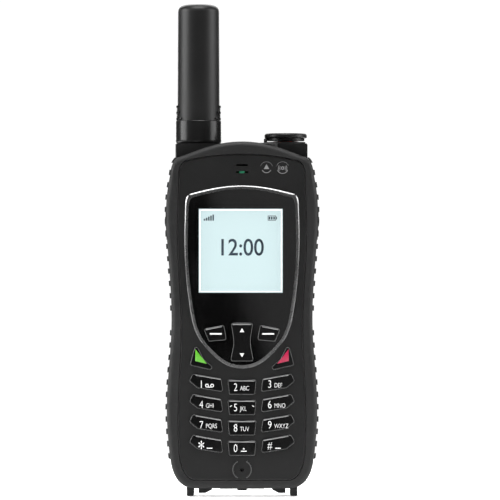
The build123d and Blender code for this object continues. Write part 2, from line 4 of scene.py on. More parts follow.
import bmesh
import bpy
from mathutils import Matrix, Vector


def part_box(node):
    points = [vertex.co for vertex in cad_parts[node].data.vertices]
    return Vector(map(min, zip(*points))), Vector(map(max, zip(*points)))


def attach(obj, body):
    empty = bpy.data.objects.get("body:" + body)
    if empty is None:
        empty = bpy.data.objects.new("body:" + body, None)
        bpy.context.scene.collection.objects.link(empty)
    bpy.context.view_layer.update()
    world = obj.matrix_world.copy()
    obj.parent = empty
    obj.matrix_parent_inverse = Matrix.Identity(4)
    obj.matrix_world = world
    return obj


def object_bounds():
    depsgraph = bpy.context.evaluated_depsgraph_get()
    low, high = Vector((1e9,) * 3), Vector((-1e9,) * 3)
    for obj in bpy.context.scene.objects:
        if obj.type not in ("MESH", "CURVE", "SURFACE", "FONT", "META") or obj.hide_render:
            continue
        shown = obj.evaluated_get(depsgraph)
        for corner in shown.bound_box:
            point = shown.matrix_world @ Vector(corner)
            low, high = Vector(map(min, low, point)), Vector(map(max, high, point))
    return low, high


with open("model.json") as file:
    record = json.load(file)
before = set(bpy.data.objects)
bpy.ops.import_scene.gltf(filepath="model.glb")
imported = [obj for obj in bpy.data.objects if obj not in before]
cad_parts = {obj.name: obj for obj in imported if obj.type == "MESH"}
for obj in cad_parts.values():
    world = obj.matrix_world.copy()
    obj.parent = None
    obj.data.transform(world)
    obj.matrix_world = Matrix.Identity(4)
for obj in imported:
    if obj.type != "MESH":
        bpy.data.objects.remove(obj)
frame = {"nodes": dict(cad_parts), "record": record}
CAD_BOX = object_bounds()

bl_info = {
    "name": "Satellite phone finishes",
    "version": (1, 0, 0),
    "blender": (4, 5, 0),
    "location": "3D View > Sidebar > Phone",
    "description": "Finishes and small fittings of a handheld satellite phone",
    "category": "Object",
}

MM = 0.001
PROUD = 0.03 * MM                # how far printed marks stand off their surface
PRINT = 2 * PROUD                # how thick printed marks are
PRINT_ROUND = 0.1                # rounding of a printed bar's edges, against its smallest side
CAPITAL = 0.7                    # height of a font's capitals, against its size
SHARPEST_SMOOTH = math.radians(35)   # edges that turn further stay sharp
FACING_FRONT = (math.pi / 2, 0, 0)

# Behind the front housing's foremost edge: its flat skin, and the end of its rounded edge, which gets a
# painted highlight.
SKIN_DROP = 0.25 * MM
EDGE_HIGHLIGHT_DROP = 0.75 * MM

# What is printed on each number key: the number and its letters.
LEGENDS = {
    "key_1": ("1", ""), "key_2": ("2", "ABC"), "key_3": ("3", "DEF"),
    "key_4": ("4", "GHI"), "key_5": ("5", "JKL"), "key_6": ("6", "MNO"),
    "key_7": ("7", "PQRS"), "key_8": ("8", "TUV"), "key_9": ("9", "WXYZ"),
    "key_star": ("*", ""), "key_0": ("0", ""), "key_hash": ("#", ""),
}
LEFT_KEYS = ("key_1", "key_4", "key_7", "key_star")
MIDDLE_KEYS = ("key_2", "key_5", "key_8", "key_0")
RIGHT_KEYS = ("key_3", "key_6", "key_9", "key_hash")

# For each column, how far left of a key's middle its number stands, and how far below.
NUMBER_PLACES = (
    (LEFT_KEYS, 1.9 * MM, 0.7 * MM),
    (MIDDLE_KEYS, 2.5 * MM, 0.2 * MM),
    (RIGHT_KEYS, 3.1 * MM, 0.7 * MM),
)


# ---- Shader writing

class Wire:
    """A shader socket that takes Python arithmetic."""

    def __init__(self, finish, socket):
        self.finish = finish
        self.socket = socket

    def maths(self, operation, *others):
        values = {0: self}
        for place, other in enumerate(others, start=1):
            values[place] = other
        return self.finish.node("ShaderNodeMath", {"operation": operation}, values)

    def __add__(self, other):
        return self.maths("ADD", other)

    __radd__ = __add__

    def __mul__(self, other):
        return self.maths("MULTIPLY", other)

    __rmul__ = __mul__

    def __sub__(self, other):
        return self.maths("SUBTRACT", other)

    def __rsub__(self, other):
        return (self * -1.0) + other

    def __lt__(self, other):
        return self.maths("LESS_THAN", other)

    def __abs__(self):
        return self.maths("ABSOLUTE")

    def ramp(self, low, high):
        """0 below low, 1 above high and straight between."""
        settings = {"clamp": True}
        values = {"From Min": low, "From Max": high, "Value": self}
        return self.finish.node("ShaderNodeMapRange", settings, values, out="Result")


class Finish:
    """One procedural material, written around a single Principled shader."""

    def __init__(self, name):
        self.material = bpy.data.materials.new(name)
        self.material.use_nodes = True
        self.tree = self.material.node_tree
        self.shader = self.tree.nodes["Principled BSDF"]
        place = self.node("ShaderNodeTexCoord", out="Object")
        self.place = place
        parts = self.node("ShaderNodeSeparateXYZ", values={"Vector": place}, out=None)
        self.x, self.y, self.z = (Wire(self, parts.outputs[axis]) for axis in "XYZ")

    def node(self, kind, settings=None, values=None, out=0):
        """Any shader node: settings first, then the values or links of its sockets."""
        made = self.tree.nodes.new(kind)
        for key, setting in (settings or {}).items():
            setattr(made, key, setting)
        for key, value in (values or {}).items():
            self.put(made.inputs[key], value)
        return made if out is None else Wire(self, made.outputs[out])

    def put(self, socket, value):
        if isinstance(value, Wire):
            self.tree.links.new(value.socket, socket)
        else:
            socket.default_value = value

    def noise(self, scale, detail=2.0, stretch=None):
        where = self.place
        if stretch:
            values = {0: where, 1: stretch}
            where = self.node("ShaderNodeVectorMath", {"operation": "MULTIPLY"}, values)
        values = {"Vector": where, "Scale": scale, "Detail": detail}
        return self.node("ShaderNodeTexNoise", values=values)

    def cells(self, scale):
        return self.node("ShaderNodeTexVoronoi", values={"Vector": self.place, "Scale": scale})

    def facing(self):
        """1 where the surface faces the front or back squarely, 0 where it is side on."""
        normal = self.node("ShaderNodeTexCoord", out="Normal")
        return abs(self.node("ShaderNodeSeparateXYZ", values={"Vector": normal}, out="Y"))

    def blend(self, factor, first, second):
        """A colour between two others."""
        made = self.node("ShaderNodeMix", {"data_type": "RGBA"}, out=None)
        colours = [socket for socket in made.inputs if socket.type == "RGBA"]
        self.put(made.inputs[0], factor)
        for socket, value in zip(colours, (first, second)):
            self.put(socket, value)
        return Wire(self, next(socket for socket in made.outputs if socket.type == "RGBA"))

    def bump(self, height, strength, depth):
        values = {"Height": height, "Strength": strength, "Distance": depth}
        return self.node("ShaderNodeBump", values=values, out="Normal")

    def done(self, **sockets):
        """Fill the shader's sockets, whose names are written with underscores."""
        for name, value in sockets.items():
            label = name.replace("_", " ").title().replace("Ior", "IOR")
            self.put(self.shader.inputs[label], value)
        return self.material


def grey(value, warm=0.0):
    return (value * (1 + warm), value, value * (1 - warm), 1.0)


def darker(colour, share):
    return tuple(channel * share for channel in colour[:3]) + (1.0,)


def moulded(name, tone, roughness, grain_mm=0.16, depth_mm=0.012, wear=0.25, edge_highlight_y=None):
    """Matte moulded plastic with a spark-eroded grain and faint handling marks.

    Rounded edges in front of the depth in its last argument get a painted highlight: they are much
    brighter.
    """
    f = Finish(name)
    grain = f.noise(1 / (grain_mm * MM), detail=2.0)
    cloud = f.noise(60.0, detail=3.0)
    rub = f.noise(420.0, detail=5.0).ramp(0.56, 0.72) * wear
    base = f.blend(cloud.ramp(0.35, 0.7), grey(tone * 0.88), grey(tone * 1.14))
    base = f.blend(rub, base, grey(tone * 1.9))
    if edge_highlight_y is not None:
        # Painted highlight: side-on rounded edges in front of that depth are made much brighter,
        # standing in for light caught along the housing's front edge.
        edge_highlight = (1.0 - f.facing().ramp(0.5, 0.96)) * (f.y < edge_highlight_y)
        base = f.blend(edge_highlight * (0.55 + cloud * 0.4), base, grey(tone * 26))
    rough = roughness + (cloud - 0.5) * 0.12 - rub * 0.18 + (grain - 0.5) * 0.08
    return f.done(base_color=base, roughness=rough, specular_ior_level=0.2,
                  normal=f.bump(grain, 0.35, depth_mm * MM))


def rubber(name, tone):
    """Fine-grained rubber with dust in patches."""
    f = Finish(name)
    grain = f.noise(5200.0, detail=3.0)
    dust = f.noise(240.0, detail=4.0).ramp(0.5, 0.8)
    base = f.blend(dust * 0.5, grey(tone), grey(tone * 1.9, warm=0.03))
    return f.done(base_color=base, roughness=0.72 - dust * 0.08,
                  normal=f.bump(grain, 0.4, 0.015 * MM))


def gloss(name, tone, roughness=0.06, smear=0.05):
    """Polished plastic with faint smears in its shine, and rounded edges made paler by a painted
    highlight.
    """
    f = Finish(name)
    smears = f.noise(180.0, detail=4.0, stretch=(1.0, 1.0, 0.4)).ramp(0.4, 0.75)
    dust = f.cells(2600.0).ramp(0.0, 0.06)
    base = f.blend(dust, grey(tone * 2.2), grey(tone))
    # Painted highlight: side-on rounded edges are made far brighter, standing in for light caught on
    # them.
    base = f.blend(f.facing().ramp(0.35, 0.93), grey(tone * 40), base)
    return f.done(base_color=base, roughness=roughness + smears * smear, specular_ior_level=0.2,
                  normal=f.bump(f.noise(900.0), 0.06, 0.01 * MM))


def metal(name, colour, roughness, streak=(1.0, 1.0, 14.0)):
    """Brushed metal, tarnished in patches; streak is how much finer its brushing is each way."""
    f = Finish(name)
    brush = f.noise(1500.0, detail=4.0, stretch=streak)
    tarnish = f.noise(130.0, detail=3.0).ramp(0.45, 0.75)
    base = f.blend(tarnish * 0.5, colour, darker(colour, 0.62))
    return f.done(base_color=base, metallic=1.0, roughness=roughness + brush * 0.16 + tarnish * 0.06,
                  normal=f.bump(brush, 0.12, 0.006 * MM))


def enamel(name, colour, roughness=0.35, glow=0.0):
    """Painted or printed colour with a slight mottle."""
    f = Finish(name)
    mottle = f.noise(2400.0, detail=3.0)
    base = f.blend(mottle.ramp(0.3, 0.7), darker(colour, 0.8), colour)
    lit = {"emission_color": base, "emission_strength": glow} if glow else {}
    return f.done(base_color=base, roughness=roughness + mottle * 0.1,
                  normal=f.bump(mottle, 0.1, 0.008 * MM), **lit)


def board(name):
    """Solder-masked laminate with tracks showing through."""
    f = Finish(name)
    values = {"Vector": f.place, "Scale": 180.0, "Distortion": 9.0, "Detail": 1.0}
    waves = f.node("ShaderNodeTexWave", {"bands_direction": "DIAGONAL"}, values, out="Fac")
    tracks = abs(waves - 0.5) < 0.12
    base = f.blend(tracks, (0.01, 0.10, 0.035, 1), (0.03, 0.2, 0.07, 1))
    return f.done(base_color=base, roughness=0.32 + f.noise(900.0) * 0.1,
                  normal=f.bump(tracks, 0.3, 0.02 * MM))


def lens(name, window):
    """A hard black-backed lens, clear over the display."""
    low, high = window
    f = Finish(name)
    inside_x = abs(f.x - (low.x + high.x) / 2) < (high.x - low.x) / 2
    inside_z = abs(f.z - (low.z + high.z) / 2) < (high.z - low.z) / 2
    clear = inside_x * inside_z
    smears = f.noise(90.0, detail=5.0, stretch=(1.0, 1.0, 0.5)).ramp(0.45, 0.8)
    base = f.blend(smears * 0.5, grey(0.002), grey(0.006))
    return f.done(base_color=base, roughness=0.03 + smears * 0.05, alpha=1.0 - clear * 0.93,
                  normal=f.bump(f.noise(60.0, detail=1.0), 0.02, 0.01 * MM))


def display(name, colour, strength):
    """A backlit panel: brighter towards its middle, with a fine checked grid."""
    low, high = (Vector(corner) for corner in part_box("display_panel"))
    f = Finish(name)
    half = (high.x - low.x) / 2
    edge = abs(f.x - (low.x + high.x) / 2) * (1 / half)
    checks = f.node("ShaderNodeTexChecker", values={"Vector": f.place, "Scale": 5200.0}, out="Fac")
    tint = f.blend(edge.ramp(0.55, 1.1) * 0.5 + checks * 0.05, colour, darker(colour, 0.86))
    return f.done(base_color=f.blend(0.9, tint, grey(0.02)), emission_color=tint,
                  emission_strength=strength, roughness=0.4 + checks * 0.05)


def foil(name):
    """Bright creased foil."""
    f = Finish(name)
    creases = f.noise(160.0, detail=6.0)
    return f.done(base_color=f.blend(creases, grey(0.45), grey(0.7)), metallic=1.0,
                  roughness=0.28 + creases * 0.2, normal=f.bump(creases, 0.5, 0.2 * MM))


def studio_floor(name):
    """Pale card, lit from below like a light table."""
    f = Finish(name)
    speckle = f.noise(40.0, detail=4.0)
    pale = f.blend(speckle, grey(0.9), grey(0.94))
    return f.done(base_color=pale, emission_color=pale, emission_strength=0.55,
                  roughness=0.6 + speckle * 0.1)


FINISHES = {}


def make_finishes(looks):
    """One material for each of the record's slots, and those of the small fittings."""
    low, high = (Vector(corner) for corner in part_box("display_panel"))
    rim = Vector((looks.lens_rim, 0, looks.lens_rim))
    window = (low + rim, high - rim)
    # Depth up to which the housing's rounded front edge gets a painted highlight.
    edge_highlight_y = front_of("front_housing") + EDGE_HIGHLIGHT_DROP
    housing = looks.housing_tone
    antenna = looks.antenna_tone
    FINISHES.update({
        "housing_plastic": moulded("housing_plastic", housing, roughness=0.5, edge_highlight_y=edge_highlight_y),
        "bumper_plastic": moulded("bumper_plastic", looks.bumper_tone, roughness=0.58,
                                  grain_mm=0.22, depth_mm=0.016, wear=0.3),
        "latch_plastic": moulded("latch_plastic", housing * 1.2, roughness=0.45),
        # A brighter copy of the housing plastic: a painted highlight for the raised arcs beside the
        # microphone.
        "highlit_arc_plastic": moulded("highlit_arc_plastic", housing * 14, roughness=0.4),
        "black_plastic": moulded("black_plastic", 0.02, roughness=0.45),
        "antenna_plastic": moulded("antenna_plastic", antenna, roughness=0.42,
                                   grain_mm=0.12, depth_mm=0.008, wear=0.15),
        "collar_plastic": moulded("collar_plastic", antenna, roughness=0.26,
                                  grain_mm=0.3, depth_mm=0.008, wear=0.2),
        "cap_plastic": moulded("cap_plastic", antenna * 0.9, roughness=0.38,
                               grain_mm=0.14, depth_mm=0.008, wear=0.3),
        "white_plastic": moulded("white_plastic", 0.7, roughness=0.4,
                                 grain_mm=0.2, depth_mm=0.01, wear=0.0),
        "former_plastic": enamel("former_plastic", (0.5, 0.3, 0.1, 1)),
        "grip_rubber": rubber("grip_rubber", looks.grip_tone),
        "seal_rubber": rubber("seal_rubber", 0.012),
        "membrane_rubber": rubber("membrane_rubber", 0.35),
        "bezel_metal": metal("bezel_metal", grey(0.2), roughness=0.18),
        "trim_metal": metal("trim_metal", grey(0.3), roughness=0.25, streak=(14.0, 1.0, 1.0)),
        "spring_steel": metal("spring_steel", grey(0.55), roughness=0.3),
        "tinned_steel": metal("tinned_steel", grey(0.6), roughness=0.34),
        "capsule_metal": metal("capsule_metal", grey(0.5), roughness=0.36),
        "screw_steel": metal("screw_steel", grey(0.3), roughness=0.3),
        "contact_gold": metal("contact_gold", (0.83, 0.6, 0.25, 1), roughness=0.22),
        "key_plastic": gloss("key_plastic", looks.key_tone),
        "lens_glass": lens("lens_glass", window),
        "screen": display("screen", tuple(looks.screen_colour) + (1.0,), looks.screen_glow),
        "light_pipe": enamel("light_pipe", (0.01, 0.12, 0.06, 1), roughness=0.25, glow=0.25),
        "ceramic": enamel("ceramic", (0.6, 0.56, 0.48, 1), roughness=0.5),
        "signal_red": enamel("signal_red", (0.5, 0.02, 0.015, 1)),
        "board_laminate": board("board_laminate"),
        "cell_foil": foil("cell_foil"),
        "legend_white": enamel("legend_white", grey(0.75), roughness=0.4, glow=0.12),
        "mark_grey": enamel("mark_grey", grey(0.2), roughness=0.45),
        "call_green": enamel("call_green", (0.09, 0.36, 0.02, 1), roughness=0.3, glow=0.1),
        "end_red": enamel("end_red", (0.34, 0.005, 0.045, 1), roughness=0.3, glow=0.04),
        "screen_ink": enamel("screen_ink", (0.012, 0.03, 0.05, 1), roughness=0.6),
        "screen_white": enamel("screen_white", grey(0.95), roughness=0.6, glow=0.9),
        "studio_floor": studio_floor("studio_floor"),
    })


# ---- Modelling helpers

def deselect():
    bpy.ops.object.select_all(action="DESELECT")


def pick(piece):
    """Select one object alone and make it the active one."""
    deselect()
    piece.select_set(True)
    bpy.context.view_layer.objects.active = piece


def apply_modifier(kind, **settings):
    """Add a modifier to the active object and apply it."""
    bpy.ops.object.modifier_add(type=kind)
    modifier = bpy.context.object.modifiers[-1]
    for name, value in settings.items():
        setattr(modifier, name, value)
    bpy.ops.object.modifier_apply(modifier=modifier.name)


def settle(name, body, finish, smooth=True):
    """Name the active object, put its place into its mesh and fasten it to a body."""
    piece = bpy.context.object
    piece.name = name
    bpy.ops.object.transform_apply(location=True, rotation=True, scale=True)
    if smooth:
        bpy.ops.object.shade_smooth_by_angle(angle=SHARPEST_SMOOTH)
    piece.data.materials.clear()
    piece.data.materials.append(FINISHES[finish])
    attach(piece, body)


def select_facing(direction):
    """In edit mode, select the faces that point one way."""
    mesh = bmesh.from_edit_mesh(bpy.context.object.data)
    for face in mesh.faces:
        face.select = face.normal.dot(Vector(direction)) > 0.9
    mesh.select_flush_mode()
    bmesh.update_edit_mesh(bpy.context.object.data)


def slip(centre, size, turn=(0, 0, 0), round_by=0.3, crown=0.0):
    """A small bar or plate: a cube, its front inset and raised, its edges rounded."""
    deselect()
    bpy.ops.mesh.primitive_cube_add(size=1, location=centre, rotation=turn)
    piece = bpy.context.object
    piece.scale = size
    bpy.ops.object.transform_apply(location=False, rotation=False, scale=True)
    if crown:
        bpy.ops.object.mode_set(mode="EDIT")
        bpy.ops.mesh.select_all(action="DESELECT")
        select_facing((0, -1, 0))
        bpy.ops.mesh.inset(thickness=min(size[0], size[2]) * 0.2, depth=crown)
        bpy.ops.object.mode_set(mode="OBJECT")
    apply_modifier("BEVEL", width=min(size) * round_by, segments=2, limit_method="ANGLE")
    return piece


def disc(centre, radius, depth, vertices=32, turn=FACING_FRONT):
    """A shallow plate with a chamfered rim, facing the front."""
    deselect()
    bpy.ops.mesh.primitive_cylinder_add(vertices=vertices, radius=radius, depth=depth,
                                        location=centre, rotation=turn)
    apply_modifier("BEVEL", width=depth * 0.3, segments=2, limit_method="ANGLE")
    return bpy.context.object


def arc(centre, radius, thickness, start_degrees, end_degrees, depth, steps=18):
    """A flat ring or part of one, facing the front, spun from a small plate.

    Degrees count from +X towards +Z. A spin turns by the negative of its angle.
    """
    deselect()
    start = math.radians(start_degrees)
    end = math.radians(end_degrees)
    first = Vector(centre) + Vector((math.cos(start), 0, math.sin(start))) * radius
    bpy.ops.mesh.primitive_plane_add(size=1, location=first, rotation=(0, -start, 0))
    piece = bpy.context.object
    piece.scale = (thickness, depth, 1)
    bpy.ops.object.transform_apply(location=True, rotation=True, scale=True)
    bpy.ops.object.mode_set(mode="EDIT")
    bpy.ops.mesh.select_all(action="SELECT")
    bpy.ops.mesh.spin(steps=steps, angle=end - start, center=centre, axis=(0, 1, 0))
    bpy.ops.mesh.select_all(action="SELECT")
    bpy.ops.mesh.remove_doubles(threshold=MM / 1000)
    bpy.ops.mesh.select_all(action="DESELECT")
    bpy.ops.mesh.select_interior_faces()
    bpy.ops.mesh.delete(type="FACE")
    bpy.ops.mesh.select_all(action="SELECT")
    bpy.ops.mesh.normals_make_consistent(inside=False)
    bpy.ops.object.mode_set(mode="OBJECT")
    return piece


def lettering(text, centre, height, width=1.0, align="CENTER", weight=0.0):
    """Printed characters facing the front, made into a mesh."""
    deselect()
    bpy.ops.object.text_add(location=centre, rotation=FACING_FRONT)
    piece = bpy.context.object
    piece.data.body = text
    piece.data.size = height / CAPITAL
    piece.data.align_x = align
    piece.data.align_y = "CENTER"
    piece.data.extrude = PROUD
    piece.data.offset = weight
    piece.scale = (width, 1, 1)
    bpy.ops.object.convert(target="MESH")
    return bpy.context.object


def copied(piece, offset):
    """A copy, with its own mesh, moved by an offset."""
    pick(piece)
    bpy.ops.object.duplicate_move(TRANSFORM_OT_translate={"value": offset})
    return bpy.context.object


def join(pieces):
    """Make one object of several; it's left active."""
    pick(pieces[0])
    for piece in pieces[1:]:
        piece.select_set(True)
    bpy.ops.object.join()


def middle(node):
    low, high = (Vector(corner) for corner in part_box(node))
    return (low + high) / 2


def front_of(node):
    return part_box(node)[0][1]


# ---- What a user can change

class PhoneLooks(bpy.types.PropertyGroup):
    """Tones and colours of the phone's finishes."""

    housing_tone: bpy.props.FloatProperty(
        name="Housing tone", description="Brightness of the housings' plastic",
        default=0.006, min=0, max=1)
    bumper_tone: bpy.props.FloatProperty(
        name="Bumper tone", description="Brightness of the bumper's plastic",
        default=0.011, min=0, max=1)
    grip_tone: bpy.props.FloatProperty(
        name="Grip tone", description="Brightness of the rubber grips",
        default=0.01, min=0, max=1)
    antenna_tone: bpy.props.FloatProperty(
        name="Antenna tone", description="Brightness of the antenna's plastic",
        default=0.008, min=0, max=1)
    key_tone: bpy.props.FloatProperty(
        name="Key tone", description="Brightness of the polished keys",
        default=0.004, min=0, max=1)
    screen_colour: bpy.props.FloatVectorProperty(
        name="Screen colour", description="Colour of the lit display",
        default=(0.68, 0.86, 0.88), subtype="COLOR", size=3, min=0, max=1)
    screen_glow: bpy.props.FloatProperty(
        name="Screen glow", description="Strength of the display's light",
        default=1.02, min=0, max=5)
    lens_rim: bpy.props.FloatProperty(
        name="Lens rim", description="How far the lens's black backing overlaps the display",
        default=1.3 * MM, min=0, subtype="DISTANCE", unit="LENGTH")


class PhoneSizes(bpy.types.PropertyGroup):
    """Sizes of the small fittings."""

    digit_height: bpy.props.FloatProperty(
        name="Digit height", description="Height of the keypad's numbers", default=3.0 * MM,
        subtype="DISTANCE", unit="LENGTH")
    letter_height: bpy.props.FloatProperty(
        name="Letter height", description="Height of the keypad's letters", default=1.75 * MM,
        subtype="DISTANCE", unit="LENGTH")
    trim_height: bpy.props.FloatProperty(
        name="Trim height", description="Height of the bright bar on each key", default=0.42 * MM,
        subtype="DISTANCE", unit="LENGTH")
    finger_pitch: bpy.props.FloatProperty(
        name="Finger pitch", description="Step between the collar's finger bars", default=2.35 * MM,
        subtype="DISTANCE", unit="LENGTH")
    camera_distance: bpy.props.FloatProperty(
        name="Camera distance", description="From the camera to the phone", default=2.2,
        subtype="DISTANCE", unit="LENGTH")


# ---- Operators

class PHONE_OT_finishes(bpy.types.Operator):
    """Give every node of the model its finish"""

    bl_idname = "phone.finishes"
    bl_label = "Finishes"

    def execute(self, context):
        make_finishes(context.scene.phone_looks)
        slots = {part["node"]: part["material_slot"] for part in frame["record"]["subparts"]}
        for node, thing in frame["nodes"].items():
            material = FINISHES[slots[node]]
            if not thing.material_slots:
                thing.data.materials.append(material)
            for holder in thing.material_slots:
                holder.material = material
        return {"FINISHED"}


class PHONE_OT_legends(bpy.types.Operator):
    """Print the numbers, the letters and the small signs on the keypad"""

    bl_idname = "phone.legends"
    bl_label = "Key legends"

    number_width = 0.76              # against the font's own width
    letter_width = 0.74
    number_weight = -0.05 * MM       # strokes thinner than the font's own
    letter_weight = -0.03 * MM
    letters_after = 1.7 * MM         # from the number's middle
    letters_below = 0.35 * MM
    star_growth = 1.7                # the font's star is small and stands high
    star_drop = 1.2 * MM
    home_dash = (0.9 * MM, PRINT, 0.25 * MM)   # the two slanted dashes beside the 5
    home_reach = 4.3 * MM            # from the key's middle
    home_rise = 0.7 * MM
    home_slant = math.radians(35)
    sign_after = 3.2 * MM            # from a number's middle to the sign beside it
    sign_below = 0.4 * MM
    sign_bar = (2.2 * MM, PRINT, 0.35 * MM)
    sign_bar_drop = 0.6 * MM
    ring_reach = 1.0 * MM            # the two rings beside the 1
    ring_radius = 0.55 * MM
    ring_line = 0.3 * MM
    peak_radius = 0.42 * MM          # the small triangle beside the 0
    peak_rise = 0.35 * MM

    def execute(self, context):
        sizes = context.scene.phone_sizes
        for node, (number, letters) in LEGENDS.items():
            self.print_key(node, number, letters, sizes)
        return {"FINISHED"}

    def print_key(self, node, number, letters, sizes):
        centre = middle(node)
        left, below = next(place[1:] for place in NUMBER_PLACES if node in place[0])
        start = centre.x - left
        level = centre.z - below
        face = front_of(node) - PROUD
        if number == "*":
            marks = [lettering(number, (start, face, level - self.star_drop),
                               sizes.digit_height * self.star_growth, self.number_width)]
        else:
            marks = [lettering(number, (start, face, level), sizes.digit_height,
                               self.number_width, weight=self.number_weight)]
        if letters:
            place = (start + self.letters_after, face, level - self.letters_below)
            marks.append(lettering(letters, place, sizes.letter_height, self.letter_width,
                                   "LEFT", self.letter_weight))
        else:
            marks += self.signs(node, start, face, level)
        if number == "5":
            for way in (-1, 1):
                place = (centre.x + way * self.home_reach, face, level + self.home_rise)
                marks.append(slip(place, self.home_dash, (0, way * self.home_slant, 0), PRINT_ROUND))
        join(marks)
        settle("legend_" + node, node + "_cap", "legend_white", smooth=False)

    def signs(self, node, start, face, level):
        """The small signs beside 1, star, 0 and hash."""
        side = start + self.sign_after
        low = level - self.sign_below
        marks = [slip((side, face, low - self.sign_bar_drop), self.sign_bar, round_by=PRINT_ROUND)]
        if node == "key_1":
            for way in (-1, 1):
                marks.append(arc((side + way * self.ring_reach, face, low), self.ring_radius,
                                 self.ring_line, 0, 360, PRINT))
        if node == "key_0":
            marks.append(disc((side, face, low + self.peak_rise), self.peak_radius, PRINT, vertices=3))
        return marks


class PHONE_OT_key_trims(bpy.types.Operator):
    """Fit the bright bar along the top of each key"""

    bl_idname = "phone.key_trims"
    bl_label = "Key trims"

    thick = 0.2 * MM
    rounding = 0.4                   # of a bar's edges, against its smallest side
    key_length = 9.8 * MM
    key_slope = math.atan2(1.9, 11.0)    # the side columns' key tops fall 1.9 mm in 11 mm
    key_shift = 0.75 * MM            # towards the keypad's middle
    key_sink = 0.07 * MM             # into the key's face
    side_drop = 1.85 * MM            # from the top of a side column's key
    middle_drop = 1.08 * MM
    soft_length = 6.4 * MM
    soft_slope = math.atan2(1.5, 7.9)    # the soft keys' tops rise 1.5 mm in 7.9 mm
    soft_shift = 0.6 * MM            # away from the keypad's middle
    soft_rise = 2.05 * MM            # above the soft key's middle
    rocker_length = 7.2 * MM
    rocker_drop = 1.15 * MM          # from the rocker's top

    def execute(self, context):
        tall = context.scene.phone_sizes.trim_height
        for column, way in ((LEFT_KEYS, 1), (MIDDLE_KEYS, 0), (RIGHT_KEYS, -1)):
            self.fit_column(column, way, tall)
        for node, way in (("soft_key_left", -1), ("soft_key_right", 1)):
            centre = middle(node)
            place = (centre.x + way * self.soft_shift, front_of(node) - PROUD,
                     centre.z + self.soft_rise)
            self.bar(place, self.soft_length, tall, way * self.soft_slope)
            settle("trim_" + node, node + "_cap", "trim_metal")
        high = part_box("nav_rocker")[1][2]
        place = (0, front_of("nav_rocker") - PROUD, high - self.rocker_drop)
        self.bar(place, self.rocker_length, tall)
        settle("trim_nav_rocker", "rocker", "trim_metal")
        return {"FINISHED"}

    def bar(self, place, length, tall, slope=0):
        return slip(place, (length, self.thick, tall), (0, slope, 0), self.rounding)

    def fit_column(self, column, way, tall):
        """Model the bar of a column's first key, then copy it to the keys below."""
        low, high = (Vector(corner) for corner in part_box(column[0]))
        centre = (low + high) / 2
        drop = self.side_drop if way else self.middle_drop
        place = (centre.x + way * self.key_shift, low.y + self.key_sink, high.z - drop)
        first = self.bar(place, self.key_length, tall, way * self.key_slope)
        bars = [first] + [copied(first, middle(node) - centre) for node in column[1:]]
        for node, bar in zip(column, bars):
            pick(bar)
            settle("trim_" + node, node + "_cap", "trim_metal")


class PHONE_OT_call_marks(bpy.types.Operator):
    """Set the coloured triangles, the rocker's arrows and the soft keys' dashes"""

    bl_idname = "phone.call_marks"
    bl_label = "Call and rocker marks"

    # A coloured plate's corners: inwards from its key's outer side, and up from the key's foot.
    inset_corners = ((2.6 * MM, 8.6 * MM), (2.5 * MM, 4.0 * MM), (7.0 * MM, 2.9 * MM))
    inset_depth = 0.12 * MM
    inset_bevel = 0.04 * MM
    arrow_radius = 1.0 * MM
    up_drop = 3.7 * MM               # from the rocker's top
    down_rise = 3.2 * MM             # from the rocker's foot
    dash = (4.6 * MM, PRINT, 0.55 * MM)
    dash_shift = 0.2 * MM            # towards the keypad's middle
    dash_drop = 0.2 * MM

    def execute(self, context):
        for node, side, finish in (("call_key", -1, "call_green"), ("end_key", 1, "end_red")):
            self.triangle(node, side)
            settle("inset_" + node, node + "_cap", finish)
        low, high = (Vector(corner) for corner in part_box("nav_rocker"))
        for name, level, roll in (("up", high.z - self.up_drop, 0),
                                  ("down", low.z + self.down_rise, -math.pi)):
            disc((0, low.y - PROUD, level), self.arrow_radius, PRINT, vertices=3,
                 turn=(math.pi / 2, roll, 0))
            settle("arrow_" + name, "rocker", "legend_white", smooth=False)
        for node, way in (("soft_key_left", -1), ("soft_key_right", 1)):
            centre = middle(node)
            place = (centre.x - way * self.dash_shift, front_of(node) - PROUD,
                     centre.z - self.dash_drop)
            slip(place, self.dash, round_by=PRINT_ROUND)
            settle("dash_" + node, node + "_cap", "legend_white", smooth=False)
        return {"FINISHED"}

    def triangle(self, node, side):
        """A three-sided plate in the key's square corner."""
        low, high = (Vector(corner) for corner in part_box(node))
        outer = low.x if side < 0 else high.x
        back = low.y - PROUD + self.inset_depth
        deselect()
        bpy.ops.mesh.primitive_circle_add(vertices=3, radius=MM, fill_type="NGON",
                                          location=(0, 0, 0), rotation=FACING_FRONT)
        piece = bpy.context.object
        bpy.ops.object.transform_apply(location=True, rotation=True, scale=True)
        for vertex, (inwards, up) in zip(piece.data.vertices, self.inset_corners):
            vertex.co = (outer - side * inwards, back, low.z + up)
        bpy.ops.object.mode_set(mode="EDIT")
        bpy.ops.mesh.select_all(action="SELECT")
        bpy.ops.mesh.extrude_region_move(TRANSFORM_OT_translate={"value": (0, -self.inset_depth, 0)})
        bpy.ops.mesh.select_all(action="SELECT")
        bpy.ops.mesh.normals_make_consistent(inside=False)
        bpy.ops.object.mode_set(mode="OBJECT")
        apply_modifier("BEVEL", width=self.inset_bevel, segments=2, limit_method="ANGLE")


